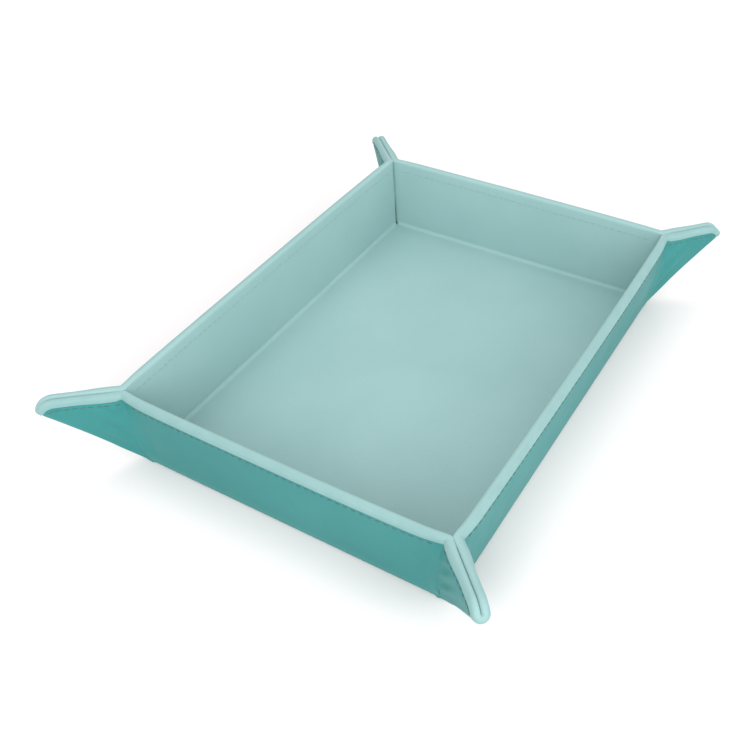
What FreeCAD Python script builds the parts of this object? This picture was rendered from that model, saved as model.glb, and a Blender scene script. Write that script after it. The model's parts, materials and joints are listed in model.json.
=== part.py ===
"""Folding dice tray: a stiffened leatherette sheet whose four walls fold up and whose corners pinch into ears.

Millimetres, +Z up, +Y along the tray's length.  The origin is the centre of the underside of the base.
Every panel is drawn as it lies in the flat sheet, in the frame of its own crease, and its Placement folds it
up: a wall about its base crease, and a corner flap about the crease at the end of its wall.
"""
import FreeCAD, Part
import math
import os
import Sketcher

# Driving dimensions: alias, value and meaning.  Lengths in millimetres, the lean in degrees.
DIMENSIONS = [
    ("half_width", 71.0, "centre to the crease of a long wall"),
    ("half_length", 102.0, "centre to the crease of a short wall"),
    ("wall_height", 37.5, "base crease to the rim, along the wall"),
    ("thickness", 3.8, "whole sheet: cover, board and lining"),
    ("cover_thick", 0.8, "outer leatherette"),
    ("lining_thick", 1.0, "inner leatherette with its backing"),
    ("lean", 6.8, "outward lean of a folded wall from the vertical"),
    ("fold_land", 2.05, "crease line to the edge of a panel"),
    ("bead_radius", 1.8, "soft fold of the sheet along a crease"),
    ("bead_end", 0.6, "end of a flap's crease to the end of its soft fold"),
    ("rim_width", 3.0, "rolled edge of the lining"),
    ("rim_round", 1.7, "rounding of the rolled edge"),
    ("seam_gap", 0.15, "end of the cover to the rolled edge"),
    ("corner_radius", 9.5, "rounded corner of the flat sheet"),
    ("corner_flare", 1.0, "how far the sheet's corner is drawn out, which keeps the ears level"),
    ("ear_gap", 0.5, "between the two flaps of a pinched ear"),
    ("board_inset", 1.0, "edge of a panel to the edge of its board"),
    ("flap_heel", 4.0, "base crease to the lower end of a flap's stiffener"),
    ("magnet_radius", 4.0, "disc magnet"),
    ("magnet_thick", 1.8, "disc magnet"),
    ("magnet_clearance", 0.1, "pocket radius beyond the magnet's"),
    ("magnet_rise", 24.0, "base crease to the centre of the magnet"),
    ("magnet_reach", 15.0, "start of the flap crease to the centre of the magnet"),
    ("thread_width", 0.6, "row of stitches"),
    ("thread_proud", 0.2, "stitches above the leatherette"),
    ("outer_row", 5.2, "rim to the row of stitches on the cover"),
    ("inner_row", 5.6, "rim to the row of stitches on the lining"),
    ("row_end", 3.5, "crease to the end of a row of stitches"),
]

# Each wall: the direction it faces, the alias of its crease's distance from the centre and of its half length.
WALLS = {
    "right": ((1, 0, 0), "half_width", "half_length"),
    "back": ((0, 1, 0), "half_length", "half_width"),
    "left": ((-1, 0, 0), "half_width", "half_length"),
    "front": ((0, -1, 0), "half_length", "half_width"),
}

# Layers of the sheet, as heights above the underside of the flat sheet.
LAYERS = {
    "cover": ("0", "{cover_thick}"),
    "board": ("{cover_thick}", "{thickness} - {lining_thick}"),
    "lining": ("{thickness} - {lining_thick}", "{thickness}"),
    "rim": ("0", "{thickness}"),
}

# A flap crease starts this far in from the corner of the base creases, so that the two flaps of an ear close
# side by side.  It flares outward by the sine of the lean, which stands both creases of a corner up together.
SETBACK = "({thickness} + {ear_gap}) * sqrt(2) / 2"
FLARE = "sin({lean})"
FLARE_SECANT = "sqrt(1 + sin({lean})^2)"

# Centre of the sheet's round corner, from the base crease.
CORNER_CENTRE = "{wall_height} + {corner_flare} - {corner_radius}"

# Two lengths this near are the same.
CLOSE = 1e-6

doc = FreeCAD.newDocument("dice_tray")
sheet = doc.addObject("Spreadsheet::Sheet", "Dims")
for row, (alias, value, meaning) in enumerate(DIMENSIONS, start=1):
    sheet.set(f"A{row}", meaning)
    sheet.set(f"B{row}", str(value))
    sheet.setAlias(f"B{row}", alias)
doc.recompute()


def cells(text):
    """An expression over the sheet, from one that has its aliases in braces."""
    return text.format(**{alias: f"Dims.{alias}" for alias, _, _ in DIMENSIONS})


def amount(text):
    """The number that the sheet gives for an expression, worked out in a spare cell."""
    sheet.set("D1", "=1 * (" + text.format(**{alias: alias for alias, _, _ in DIMENSIONS}) + ")")
    sheet.recompute()
    return float(sheet.get("D1"))


# ------------------------------------------------------------------------------ drawing panels
def flat_sketch(body, name, height):
    """A sketch parallel to the sheet, at a height in the body's frame given as an expression."""
    sketch = body.newObject("Sketcher::SketchObject", name)
    plane = next(feature for feature in body.Origin.OriginFeatures if feature.Role == "XY_Plane")
    sketch.AttachmentSupport = (plane, [""])
    sketch.MapMode = "FlatFace"
    sketch.setExpression("AttachmentOffset.Base.z", cells(height))
    return sketch


def pin(sketch, kind, place, expression):
    """A driving dimension of the sketch, bound to the sheet; place says which points it holds."""
    number = sketch.addConstraint(Sketcher.Constraint(kind, *place, amount(expression)))
    sketch.setExpression(f"Constraints[{number}]", cells(expression))


def pin_point(sketch, line, point, across, along):
    """Holds one end of a line at a distance across and along from the sketch's origin."""
    pin(sketch, "DistanceX", (-1, 1, line, point), across)
    pin(sketch, "DistanceY", (-1, 1, line, point), along)


def add_line(sketch, start, end):
    points = [FreeCAD.Vector(amount(across), amount(along), 0) for across, along in (start, end)]
    return sketch.addGeometry(Part.LineSegment(*points))


def chain(sketch, pieces):
    """Joins each piece's end to the next one's start, round the outline."""
    for piece, following in zip(pieces, pieces[1:] + pieces[:1]):
        sketch.addConstraint(Sketcher.Constraint("Coincident", piece, 2, following, 1))


def layer_start(layer, hand):
    """Where a layer starts, from mid-thickness; the frame of a flap of hand -1 has its z axis downward."""
    low, high = LAYERS[layer]
    return f"({low}) - {{thickness}} / 2" if hand > 0 else f"{{thickness}} / 2 - ({high})"


def layer_depth(layer):
    low, high = LAYERS[layer]
    return f"({high}) - ({low})"


def pad(body, sketch, depth):
    feature = body.newObject("PartDesign::Pad", f"{sketch.Name}_pad")
    feature.Profile = sketch
    feature.setExpression("Length", cells(depth))
    return feature


def new_body(name, placement):
    body = doc.addObject("PartDesign::Body", name)
    body.Placement = placement
    return body


def wall_layer(body, layer, half_length, start, end, inset):
    """A layer of a wall: a band across the wall from start to end, inset from both flap creases."""
    sketch = flat_sketch(body, f"{body.Name}_{layer}_outline", layer_start(layer, 1))
    corners = []
    for rise in (start, end):
        reach = f"({half_length} - {SETBACK} + ({rise}) * {FLARE} - ({inset}) * {FLARE_SECANT})"
        corners.append((rise, reach))
    (low, low_reach), (high, high_reach) = corners
    outline = [(low, f"-{low_reach}"), (high, f"-{high_reach}"), (high, high_reach), (low, low_reach)]
    lines = [add_line(sketch, a, b) for a, b in zip(outline, outline[1:] + outline[:1])]
    chain(sketch, lines)
    opposite_corners = ((lines[0], lines[3]), (lines[1], lines[2]))
    for (first, second), (rise, reach) in zip(opposite_corners, corners):
        sketch.addConstraint(Sketcher.Constraint("Symmetric", first, 1, second, 1, -1))
        pin(sketch, "DistanceX", (-2, 1, first, 1), rise)
        pin(sketch, "DistanceY", (first, 1, second, 1), f"2 * {reach}")
    return pad(body, sketch, layer_depth(layer))


def flap_layer(body, layer, hand, start, end, crease_inset, fold_inset, climb="0"):
    """A layer of a corner flap, between its crease and the ear's fold, with its share of the round corner.

    start and end are heights from the base crease, along the flap's own crease.  The insets are square to
    the crease and to the fold.  climb is how far the lower edge has risen where the round corner starts.
    """
    sketch = flat_sketch(body, f"{body.Name}_{layer}_outline", layer_start(layer, hand))
    fold_start = f"{SETBACK} - ({{ear_gap}} / 2 + ({fold_inset})) * sqrt(2)"
    crease_start = f"({crease_inset}) * {FLARE_SECANT}"
    centre = (CORNER_CENTRE, f"{SETBACK} + {CORNER_CENTRE}")
    radius = f"({{corner_radius}} - {{wall_height}} + ({end}))"
    tilt = f"(({{ear_gap}} / 2 + ({fold_inset})) / {radius})"
    arc_end = f"({centre[0]} + {radius} * ({tilt} + sqrt(1 - {tilt}^2)) / sqrt(2))"
    heel = (start, f"{crease_start} + ({start}) * {FLARE}")
    neck = (end, f"{crease_start} + ({end}) * {FLARE}")
    slope = f"({climb}) / ({centre[1]} - ({heel[1]}))"
    toe_rise = f"(({start}) + {slope} * ({fold_start} - ({heel[1]}))) / (1 - {slope})"
    toe = (toe_rise, f"{fold_start} + {toe_rise}")
    tip = (arc_end, f"{arc_end} + {fold_start}")
    crease_side = add_line(sketch, heel, neck)
    top_edge = add_line(sketch, neck, (f"{centre[0]} + {radius}", centre[1]))
    middle = FreeCAD.Vector(amount(centre[0]), amount(centre[1]), 0)
    circle = Part.Circle(middle, FreeCAD.Vector(0, 0, 1), amount(radius))
    sweep = math.asin(math.sqrt(0.5)) - math.asin(amount(tilt))
    round_end = sketch.addGeometry(Part.ArcOfCircle(circle, 0, sweep))
    fold_side = add_line(sketch, tip, toe)
    heel_side = add_line(sketch, toe, heel)
    sketch.addConstraint(Sketcher.Constraint("Tangent", top_edge, 2, round_end, 1))
    for piece, following in ((crease_side, top_edge), (round_end, fold_side), (fold_side, heel_side),
                             (heel_side, crease_side)):
        sketch.addConstraint(Sketcher.Constraint("Coincident", piece, 2, following, 1))
    pin_point(sketch, crease_side, 1, *heel)
    pin_point(sketch, crease_side, 2, *neck)
    pin_point(sketch, heel_side, 1, *toe)
    pin(sketch, "DistanceX", (-1, 1, round_end, 3), centre[0])
    pin(sketch, "DistanceY", (-1, 1, round_end, 3), centre[1])
    pin(sketch, "Radius", (round_end,), radius)
    pin(sketch, "DistanceX", (-1, 1, fold_side, 1), tip[0])
    return pad(body, sketch, layer_depth(layer))


def add_bead(body, placement, length):
    """The soft fold of the cover along its crease: a rod on the crease's own axis."""
    bead = body.newObject("PartDesign::AdditiveCylinder", f"{body.Name}_bead")
    bead.Placement = placement
    bead.setExpression("Radius", cells("{bead_radius}"))
    bead.setExpression("Height", cells(length))


def round_rim(body, rolled_edge):
    """Rounds the free edge of a rolled rim, above and below: the level edges that reach the rim's height."""
    doc.recompute()
    names = []
    for number, edge in enumerate(rolled_edge.Shape.Edges, start=1):
        middle = edge.valueAt((edge.FirstParameter + edge.LastParameter) / 2)
        heights = [vertex.Point.z for vertex in edge.Vertexes]
        level = abs(heights[0] - heights[-1]) < CLOSE
        if level and middle.x > amount("{wall_height}") - CLOSE:
            names.append(f"Edge{number}")
    fillet = body.newObject("PartDesign::Fillet", f"{body.Name}_roll")
    fillet.Base = (rolled_edge, names)
    fillet.setExpression("Radius", cells("{rim_round}"))


# ------------------------------------------------------------------------------ folding
LEAN = math.radians(amount("{lean}"))
FLARE_ANGLE = math.atan(math.sin(LEAN))
WALL_FOLD = 90 - amount("{lean}")
EAR_FOLD = math.atan((math.cos(FLARE_ANGLE) + math.sin(FLARE_ANGLE) * math.sin(LEAN)) / math.cos(LEAN))
FLAP_FOLD = math.degrees(EAR_FOLD)


def wall_placement(facing, distance):
    """The folded wall's frame: x up the wall, y along its crease, z towards the lining."""
    outward = FreeCAD.Vector(*facing)
    turn = FreeCAD.Rotation(FreeCAD.Vector(0, 0, 1), math.degrees(math.atan2(outward.y, outward.x)))
    fold = FreeCAD.Rotation(FreeCAD.Vector(0, -1, 0), WALL_FOLD)
    crease = outward * amount(distance) + FreeCAD.Vector(0, 0, amount("{thickness} / 2"))
    return FreeCAD.Placement(crease, turn.multiply(fold))


def flap_placement(wall, half_length, side):
    """The folded flap's frame: x up the wall, y away from it.  The flap of side -1 is turned over."""
    start = FreeCAD.Vector(0, side * (amount(half_length) - amount(SETBACK)), 0)
    turn_over = FreeCAD.Rotation(FreeCAD.Vector(1, 0, 0), 0 if side > 0 else 180)
    crease = FreeCAD.Vector(math.cos(FLARE_ANGLE), math.sin(FLARE_ANGLE), 0)
    fold = FreeCAD.Rotation(crease * -side, FLAP_FOLD)
    return wall.multiply(FreeCAD.Placement(start, turn_over.multiply(fold)))


# ------------------------------------------------------------------------------ sub-parts
def make_base():
    """The flat middle: cover, board and lining, each one layer."""
    for name, layer, inset in (("cover_base", "cover", "0"), ("board_base", "board", "{board_inset}"),
                               ("lining_base", "lining", "0")):
        slab = doc.addObject("Part::Box", name)
        slab.Label = name
        for size, place, half in (("Length", "x", "half_width"), ("Width", "y", "half_length")):
            reach = f"{{{half}}} - {{fold_land}} - {inset}"
            slab.setExpression(size, cells(f"2 * ({reach})"))
            slab.setExpression(f"Placement.Base.{place}", cells(f"-({reach})"))
        slab.setExpression("Height", cells(layer_depth(layer)))
        slab.setExpression("Placement.Base.z", cells(LAYERS[layer][0]))
        yield slab


def make_wall(wall, half_length, placement):
    """One wall: its cover with the soft fold at the base, its board and its lining with the rolled rim."""
    cover = new_body(f"cover_{wall}_wall", placement)
    wall_layer(cover, "cover", half_length, "0", "{wall_height} - {rim_width} - {seam_gap}", "{fold_land}")
    bead_reach = f"({half_length} - {SETBACK} - {{fold_land}})"
    along_crease = FreeCAD.Rotation(FreeCAD.Vector(1, 0, 0), -90)
    bead_start = FreeCAD.Vector(0, -amount(bead_reach), 0)
    add_bead(cover, FreeCAD.Placement(bead_start, along_crease), f"2 * {bead_reach}")
    board = new_body(f"board_{wall}_wall", placement)
    wall_layer(board, "board", half_length, "{fold_land} + {board_inset}",
               "{wall_height} - {rim_width} - {board_inset}", "{fold_land} + {board_inset}")
    lining = new_body(f"lining_{wall}_wall", placement)
    wall_layer(lining, "lining", half_length, "{fold_land}", "{wall_height}", "{fold_land}")
    rim = wall_layer(lining, "rim", half_length, "{wall_height} - {rim_width}", "{wall_height}", "{fold_land}")
    round_rim(lining, rim)
    return cover, board, lining


def make_flap(flap, side, placement, hung):
    """One corner flap: cover, stiffener, magnet and lining with its rim.

    A flap hung on its wall has the soft fold of the cover at that crease.  The other flap of the ear hangs on
    this one, and stands clear of its own wall.
    """
    cover = new_body(f"cover_{flap}_flap", placement)
    cover_inset = "0" if hung else "{fold_land}"
    flap_layer(cover, "cover", side, "0", "{wall_height} - {rim_width} - {seam_gap}", cover_inset, "0")
    if hung:
        crease = FreeCAD.Vector(math.cos(FLARE_ANGLE), math.sin(FLARE_ANGLE), 0)
        bead_turn = FreeCAD.Rotation(FreeCAD.Vector(0, 0, 1), crease)
        add_bead(cover, FreeCAD.Placement(crease * amount("{bead_end}"), bead_turn),
                 f"{{wall_height}} * {FLARE_SECANT} - 2 * {{bead_end}}")
    stiffener = new_body(f"stiffener_{flap}_flap", placement)
    flap_layer(stiffener, "board", side, "{flap_heel}", "{wall_height} - {rim_width} - {board_inset}",
               "{fold_land} + {board_inset}", "{board_inset}")
    hole = flat_sketch(stiffener, f"{flap}_magnet_hole", layer_start("board", side))
    pocket_radius = "{magnet_radius} + {magnet_clearance}"
    place = FreeCAD.Vector(amount("{magnet_rise}"), amount("{magnet_reach}"), 0)
    hole.addGeometry(Part.Circle(place, FreeCAD.Vector(0, 0, 1), amount(pocket_radius)))
    pin_point(hole, 0, 3, "{magnet_rise}", "{magnet_reach}")
    pin(hole, "Radius", (0,), pocket_radius)
    pocket = stiffener.newObject("PartDesign::Pocket", f"{flap}_magnet_pocket")
    pocket.Profile = hole
    pocket.Reversed = True
    pocket.setExpression("Length", cells(layer_depth("board")))
    magnet = doc.addObject("Part::Cylinder", f"magnet_{flap}_flap")
    magnet.setExpression("Radius", cells("{magnet_radius}"))
    magnet.setExpression("Height", cells("{magnet_thick}"))
    centre = FreeCAD.Vector(place.x, place.y, -amount("{magnet_thick}") / 2)
    board_middle = amount("({cover_thick} - {lining_thick}) / 2") * side
    centre.z += board_middle
    magnet.Placement = placement.multiply(FreeCAD.Placement(centre, FreeCAD.Rotation()))
    lining = new_body(f"lining_{flap}_flap", placement)
    flap_layer(lining, "lining", side, "0", "{wall_height}", "{fold_land}", "0")
    rim = flap_rim(lining, side)
    round_rim(lining, rim)
    return cover, stiffener, magnet, lining


def flap_rim(lining, side):
    """The rolled rim of a flap, along its top edge and round the corner."""
    return flap_layer(lining, "rim", side, "{wall_height} - {rim_width}", "{wall_height}", "{fold_land}", "0",
                      climb="{corner_flare}")


def make_thread(name, length, start, placement, side):
    """Two rows of stitches along the rim: one on the cover and one on the lining."""
    rows = []
    for row, rise, (low, high) in (("outer", "outer_row", ("-{thread_proud}", "0")),
                                   ("inner", "inner_row", ("{thickness}", "{thickness} + {thread_proud}"))):
        stitches = doc.addObject("Part::Box", f"{name}_{row}_row")
        stitches.setExpression("Length", cells("{thread_width}"))
        stitches.setExpression("Width", cells(length))
        stitches.setExpression("Height", cells("{thread_proud}"))
        across = f"{{wall_height}} - {{{rise}}}"
        height = f"({low}) - {{thickness}} / 2" if side > 0 else f"{{thickness}} / 2 - ({high})"
        stitches.setExpression("Placement.Base.x", cells(across))
        stitches.setExpression("Placement.Base.y", cells(start))
        stitches.setExpression("Placement.Base.z", cells(height))
        rows.append(stitches)
    thread = doc.addObject("Part::Compound", name)
    thread.Links = rows
    thread.Placement = placement
    return thread


def make_tray():
    parts = list(make_base())
    for wall, (facing, distance, half) in WALLS.items():
        half_length = f"{{{half}}}"
        placement = wall_placement(facing, f"{{{distance}}}")
        parts.extend(make_wall(wall, half_length, placement))
        reach = f"({half_length} - {SETBACK} - {{row_end}})"
        parts.append(make_thread(f"thread_{wall}_wall", f"2 * {reach}", f"-{reach}", placement, 1))
        along = FreeCAD.Vector(0, 0, 1).cross(FreeCAD.Vector(*facing))
        for side in (1, -1):
            end = next(name for name, entry in WALLS.items() if FreeCAD.Vector(*entry[0]) == along * side)
            folded = flap_placement(placement, half_length, side)
            flap = f"{wall}_{end}"
            parts.extend(make_flap(flap, side, folded, half == "half_length"))
            row_start = "{row_end} + {wall_height} * " + FLARE
            row_length = f"{SETBACK} + {{wall_height}} - {{inner_row}} - {{thread_width}} - ({row_start})"
            parts.append(make_thread(f"thread_{flap}_flap", row_length, row_start, folded, side))
    return parts


def check_document(parts):
    """Stops on any failed object, open sketch or bad shape."""
    doc.recompute()
    for item in doc.Objects:
        if "Invalid" in item.State or "Error" in item.State:
            raise RuntimeError(f"{item.Name} failed: {item.State}")
    for item in parts:
        if item.Shape.isNull() or not item.Shape.isValid():
            raise RuntimeError(f"{item.Name} has no valid shape")


tray = make_tray()
check_document(tray)
os.makedirs("parts", exist_ok=True)
for piece in tray:
    piece.Label = piece.Name
    piece.Shape.exportStep(f"parts/{piece.Label}.step")
    box = piece.Shape.BoundBox
    print(f"{piece.Label:34s} solids {len(piece.Shape.Solids)} volume {piece.Shape.Volume:9.1f}"
          f" x {box.XMin:7.2f} {box.XMax:7.2f} y {box.YMin:8.2f} {box.YMax:8.2f} z {box.ZMin:6.2f} {box.ZMax:6.2f}")
print(len(tray), "nodes")
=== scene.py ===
"""Folding dice tray: the leatherette sheets, stitches, materials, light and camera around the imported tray.

Metres, in the tray's own frame: +Z up, +Y along its length, origin under the middle of the base.  Each panel
has a frame on its crease: rise goes up the panel, reach goes along it, and depth goes from the middle of the
sheet towards the lining, so the lining's face is at +THICKNESS / 2 and the cover's at -THICKNESS / 2.
"""
import json
import math

import bpy
import numpy as np
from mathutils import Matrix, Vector


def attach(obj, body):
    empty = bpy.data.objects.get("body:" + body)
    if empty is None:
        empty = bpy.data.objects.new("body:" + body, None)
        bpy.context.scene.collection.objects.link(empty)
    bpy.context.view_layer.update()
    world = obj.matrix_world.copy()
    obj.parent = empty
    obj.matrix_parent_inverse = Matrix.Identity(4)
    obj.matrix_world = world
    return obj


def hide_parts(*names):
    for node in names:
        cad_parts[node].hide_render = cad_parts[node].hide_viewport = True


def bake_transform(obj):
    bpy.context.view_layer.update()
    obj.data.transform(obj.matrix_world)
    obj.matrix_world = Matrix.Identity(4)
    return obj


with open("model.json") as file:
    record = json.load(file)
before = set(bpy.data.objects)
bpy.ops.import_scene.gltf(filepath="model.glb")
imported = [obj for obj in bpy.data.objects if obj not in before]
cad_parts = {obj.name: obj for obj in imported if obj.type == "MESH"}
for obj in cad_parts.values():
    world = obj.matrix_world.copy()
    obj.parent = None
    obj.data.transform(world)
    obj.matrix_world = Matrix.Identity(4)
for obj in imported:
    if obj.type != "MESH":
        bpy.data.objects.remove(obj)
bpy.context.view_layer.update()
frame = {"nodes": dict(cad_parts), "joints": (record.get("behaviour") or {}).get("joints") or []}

MM = 0.001
SCENE = bpy.context.scene

# ---- sizes
JOINTS = {joint["name"]: joint for joint in frame["joints"]}
HALF_WIDTH = abs(JOINTS["left_wall_fold"]["pos_m"][0])
HALF_LENGTH = abs(JOINTS["front_wall_fold"]["pos_m"][1])
THICKNESS = 2 * JOINTS["left_wall_fold"]["pos_m"][2]
WALL_FOLD = JOINTS["left_wall_fold"]["range_deg"][1]
FLAP_FOLD = JOINTS["left_front_flap_fold"]["range_deg"][1]
SETBACK = HALF_LENGTH - abs(JOINTS["left_front_flap_fold"]["pos_m"][1])
EAR_GAP = SETBACK * math.sqrt(2) - THICKNESS
LEAN = math.radians(90 - WALL_FOLD)
FLARE = math.sin(LEAN)
FLARE_ANGLE = math.atan(FLARE)
HALF = THICKNESS / 2
EAR_MIDDLE = HALF + EAR_GAP / 2
FOLD_SLOPE = math.tan(math.radians(FLAP_FOLD / 2))

WALL_HEIGHT = 37.5 * MM
COVER_THICK = 0.8 * MM
LINING_THICK = 1.0 * MM
CORNER_RADIUS = 9.5 * MM
CORNER_FLARE = 1.0 * MM
CORNER_CENTRE = WALL_HEIGHT + CORNER_FLARE - CORNER_RADIUS

STRIP = 8.0 * MM            # floor that goes with each wall's sheets
FILLET = 1.9 * MM           # soft fold of the lining at the base
HEEL = HALF - 0.1 * MM      # how far a flap's sheets reach below its base crease

RIM_LIP = 2.9 * MM          # edge to the end of the rolled lining, on the cover's side
RIM_SQUARE = 2.4            # roundness of the roll: 2 is a half circle
LIP_PROUD = 0.25 * MM       # lip above the cover's face
LIP_LOSS = 0.30             # share of the roll's outer part that is missing at a flap crease
COVER_CLIMB = 0.8 * MM      # and how far the cover climbs there
NECK_SPAN = 3.4 * MM
NECK_SINK = 0.75 * MM       # outer faces draw together at a flap crease
NECK_SINK_SPAN = 7.0 * MM
GROOVE_DEPTH = 0.35 * MM    # the cover sinks where the rim ends
GROOVE_WIDTH = 0.55 * MM
ARC_STEPS = 5
ARC_TURN = math.radians(50)
ARC_SHRINK = 0.05 * MM
ARC_STEP_OUT = 0.06 * MM
TUCK_STEPS = 3              # the cover tucks in behind the next panel's cover
TUCK_STEP_OUT = 0.4 * MM
TUCK_DEPTH = 0.05 * MM
TUCK_SLOPE = 0.03 * MM

BOW = 0.7 * MM              # walls bow outward in the middle of their length
PUFF = 0.35 * MM            # leatherette stands off its board
WAVE = 0.10 * MM
FLOOR_WAVE = 0.12 * MM
EAR_SWELL = 0.12 * MM       # flaps part towards the ear's tip
EAR_SWELL_AT = 34 * MM
CREASE_NIP = 0.29 * MM      # the linings of two walls press together at a corner, above its foot
CREASE_NIP_SPAN = 4.0 * MM
PINCH = 0.28                # share of an ear's thickness that is pinched away at its tip
PINCH_SPAN = 0.6
EAR_PRESS = EAR_GAP / 2 - 0.04 * MM
EAR_THIN = 1.3 * MM         # the covers draw in towards the fold under an ear
EAR_THIN_SPAN = 9.0 * MM
EAR_FLAT = 0.40             # and the fold itself is pressed flat
HEEL_FLAT = 0.35            # most of all at the base
COVER_RUB = 0.15            # wear on that fold
EAR_FOOT = 0.12 * MM        # lowest point of an ear's fold
NECK_FILL_SPAN = 7.0 * MM
NECK_FILL = 0.55            # share of the groove between the rolls that is closed at a flap crease
EAR_FILL = 0.30             # and along an ear
BULGE = 0.55 * MM
WRINKLE = 0.55 * MM
WRINKLE_LENGTH = 10.5 * MM
WRINKLE_AT = 8 * MM         # where the wrinkles are deepest, from the flap crease
WRINKLE_SPAN = 7 * MM
VALLEY = 7.5 * MM           # the cover is drawn across the outer corner beside a flap crease

OUTER_ROW = 4.7 * MM        # edge to the stitches on the cover
INNER_ROW = 5.0 * MM        # edge to the stitches on the lining
STITCH_LENGTH = 2.5 * MM
STITCH_PITCH = 3.3 * MM
STITCH_RADIUS = 0.25 * MM

CARD_INSET = 4.3 * MM       # card inside a flap, from the sheet's edge, the crease, the ridge and the base
CARD_FROM_CREASE = 3.0 * MM
CARD_FROM_RIDGE = 2.2 * MM
CARD_HEEL = 6.0 * MM
MAGNET_RISE = 24.0 * MM
MAGNET_REACH = 15.0 * MM
MAGNET_RADIUS = 4.0 * MM
MAGNET_HALF = 0.8 * MM
MAGNET_DEPTH = -0.1 * MM
HOLE_GAP = 0.15 * MM        # round the magnet
CARD_LEAST = 0.3 * MM       # least thickness of the card

# How far each hand-pinched ear's tip stands from the even shape: outward, upward and sideways.
TIP_PULL = {
    ("left", "front"): (-2.1, 3.0, 0.0),
    ("right", "front"): (-4.6, 0.9, 0.2),
    ("right", "back"): (-5.9, 0.5, 1.2),
    ("left", "back"): (0.2, -0.8, 0.2),
}

WALLS = {
    "right": ((1, 0), HALF_WIDTH, HALF_LENGTH),
    "back": ((0, 1), HALF_LENGTH, HALF_WIDTH),
    "left": ((-1, 0), HALF_WIDTH, HALF_LENGTH),
    "front": ((0, -1), HALF_LENGTH, HALF_WIDTH),
}


# ---- frames of the panels
def turn(axis, degrees):
    x, y, z = np.array(axis, float) / np.linalg.norm(axis)
    cross = np.array([[0, -z, y], [z, 0, -x], [-y, x, 0]])
    angle = math.radians(degrees)
    return np.eye(3) + math.sin(angle) * cross + (1 - math.cos(angle)) * cross @ cross


class Panel:
    """A folded panel's frame.  A flap's pull moves its points: none at its crease, all at its tip."""

    def __init__(self, origin, basis, side=1, pull=None):
        self.origin = origin
        self.basis = basis
        self.side = side
        self.pull = pull

    def place(self, rise, reach, depth):
        rise, reach, depth = np.broadcast_arrays(rise, reach, depth)
        if self.pull is not None:
            depth = EAR_MIDDLE - (EAR_MIDDLE - depth) * pinch(rise, reach)
        points = self.origin + np.stack([rise, reach, self.side * depth], axis=-1) @ self.basis.T
        if self.pull is not None:
            points = points + pull_share(rise, reach)[..., None] * self.pull
        return points

    def inward(self):
        """The direction that the lining faces."""
        return self.side * self.basis[:, 2]

    def along(self, rise, reach):
        return self.basis @ np.array([rise, reach, 0.0])


def wall_panel(wall):
    (nx, ny), distance, _ = WALLS[wall]
    outward = np.array([nx, ny, 0.0])
    up = np.array([0, 0, 1.0])
    basis = np.column_stack([outward, np.cross(up, outward), up]) @ turn((0, -1, 0), WALL_FOLD)
    return Panel(outward * distance + up * HALF, basis)


def flap_panel(wall, side):
    panel = wall_panel(wall)
    half = WALLS[wall][2]
    start = panel.place(0, side * (half - SETBACK), 0)
    crease = (math.cos(FLARE_ANGLE), math.sin(FLARE_ANGLE), 0)
    turned = panel.basis @ turn((1, 0, 0), 0 if side > 0 else 180)
    basis = turned @ turn([-side * value for value in crease], FLAP_FOLD)
    return Panel(start, basis, side, tip_pull({wall, end_of(wall, side)}))


def tip_pull(corner):
    """The pull on the tip of the ear between two walls, in the tray's frame."""
    (long_wall, short_wall), pull = next(entry for entry in TIP_PULL.items() if set(entry[0]) == corner)
    x, y = WALLS[long_wall][0][0], WALLS[short_wall][0][1]
    outward = np.array([x, y, 0]) / math.sqrt(2)
    sideways = np.array([-y, x, 0]) / math.sqrt(2)
    return MM * (pull[0] * outward + pull[1] * np.array([0, 0, 1.0]) + pull[2] * sideways)


def crease_distance(rise, reach):
    return reach * math.cos(FLARE_ANGLE) - rise * math.sin(FLARE_ANGLE)


TIP = CORNER_CENTRE * math.sqrt(2) + CORNER_RADIUS
TIP_DISTANCE = crease_distance(TIP / math.sqrt(2), TIP / math.sqrt(2) + SETBACK)


def pull_share(rise, reach):
    return np.clip(crease_distance(rise, reach) / TIP_DISTANCE, 0, 1.1)


def pinch(rise, reach):
    """How much of an ear's thickness is left where it is pinched towards its tip."""
    return 1 - PINCH * fade(pull_share(rise, reach) / PINCH_SPAN)


def end_of(wall, side):
    """The wall that this wall's end on that side runs up to."""
    (nx, ny), _, _ = WALLS[wall]
    along = (-ny * side, nx * side)
    return next(name for name, entry in WALLS.items() if entry[0] == along)


# ---- meshes
def grid_normals(grid):
    normals = np.cross(np.gradient(grid, axis=1), np.gradient(grid, axis=0))
    return normals / np.linalg.norm(normals, axis=-1, keepdims=True)


def quads(rows, columns, offset, flip):
    faces = []
    for row in range(rows - 1):
        for column in range(columns - 1):
            a = offset + row * columns + column
            face = (a, a + 1, a + columns + 1, a + columns)
            faces.append(face[::-1] if flip else face)
    return faces


def ring_faces(rings, sides, base=0, closed=False):
    """Faces from each ring of points to the next, and from the last to the first if closed."""
    faces = []
    for ring in range(rings if closed else rings - 1):
        low, high = base + ring * sides, base + (ring + 1) % rings * sides
        for side in range(sides):
            beside = (side + 1) % sides
            faces.append((low + side, low + beside, high + beside, high + side))
    return faces


def new_piece(name, points, faces, material, wear_and_shade=None):
    mesh = bpy.data.meshes.new(name)
    mesh.from_pydata([tuple(point) for point in points], [], faces)
    mesh.polygons.foreach_set("use_smooth", [True] * len(mesh.polygons))
    mesh.set_sharp_from_angle(angle=math.radians(55))
    shade = mesh.attributes.new("wear_and_shade", "FLOAT", "POINT")
    values = np.zeros(len(points), np.float32) if wear_and_shade is None else wear_and_shade.astype(np.float32)
    shade.data.foreach_set("value", values)
    mesh.materials.append(material)
    piece = bpy.data.objects.new(name, mesh)
    SCENE.collection.objects.link(piece)
    return piece


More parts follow.
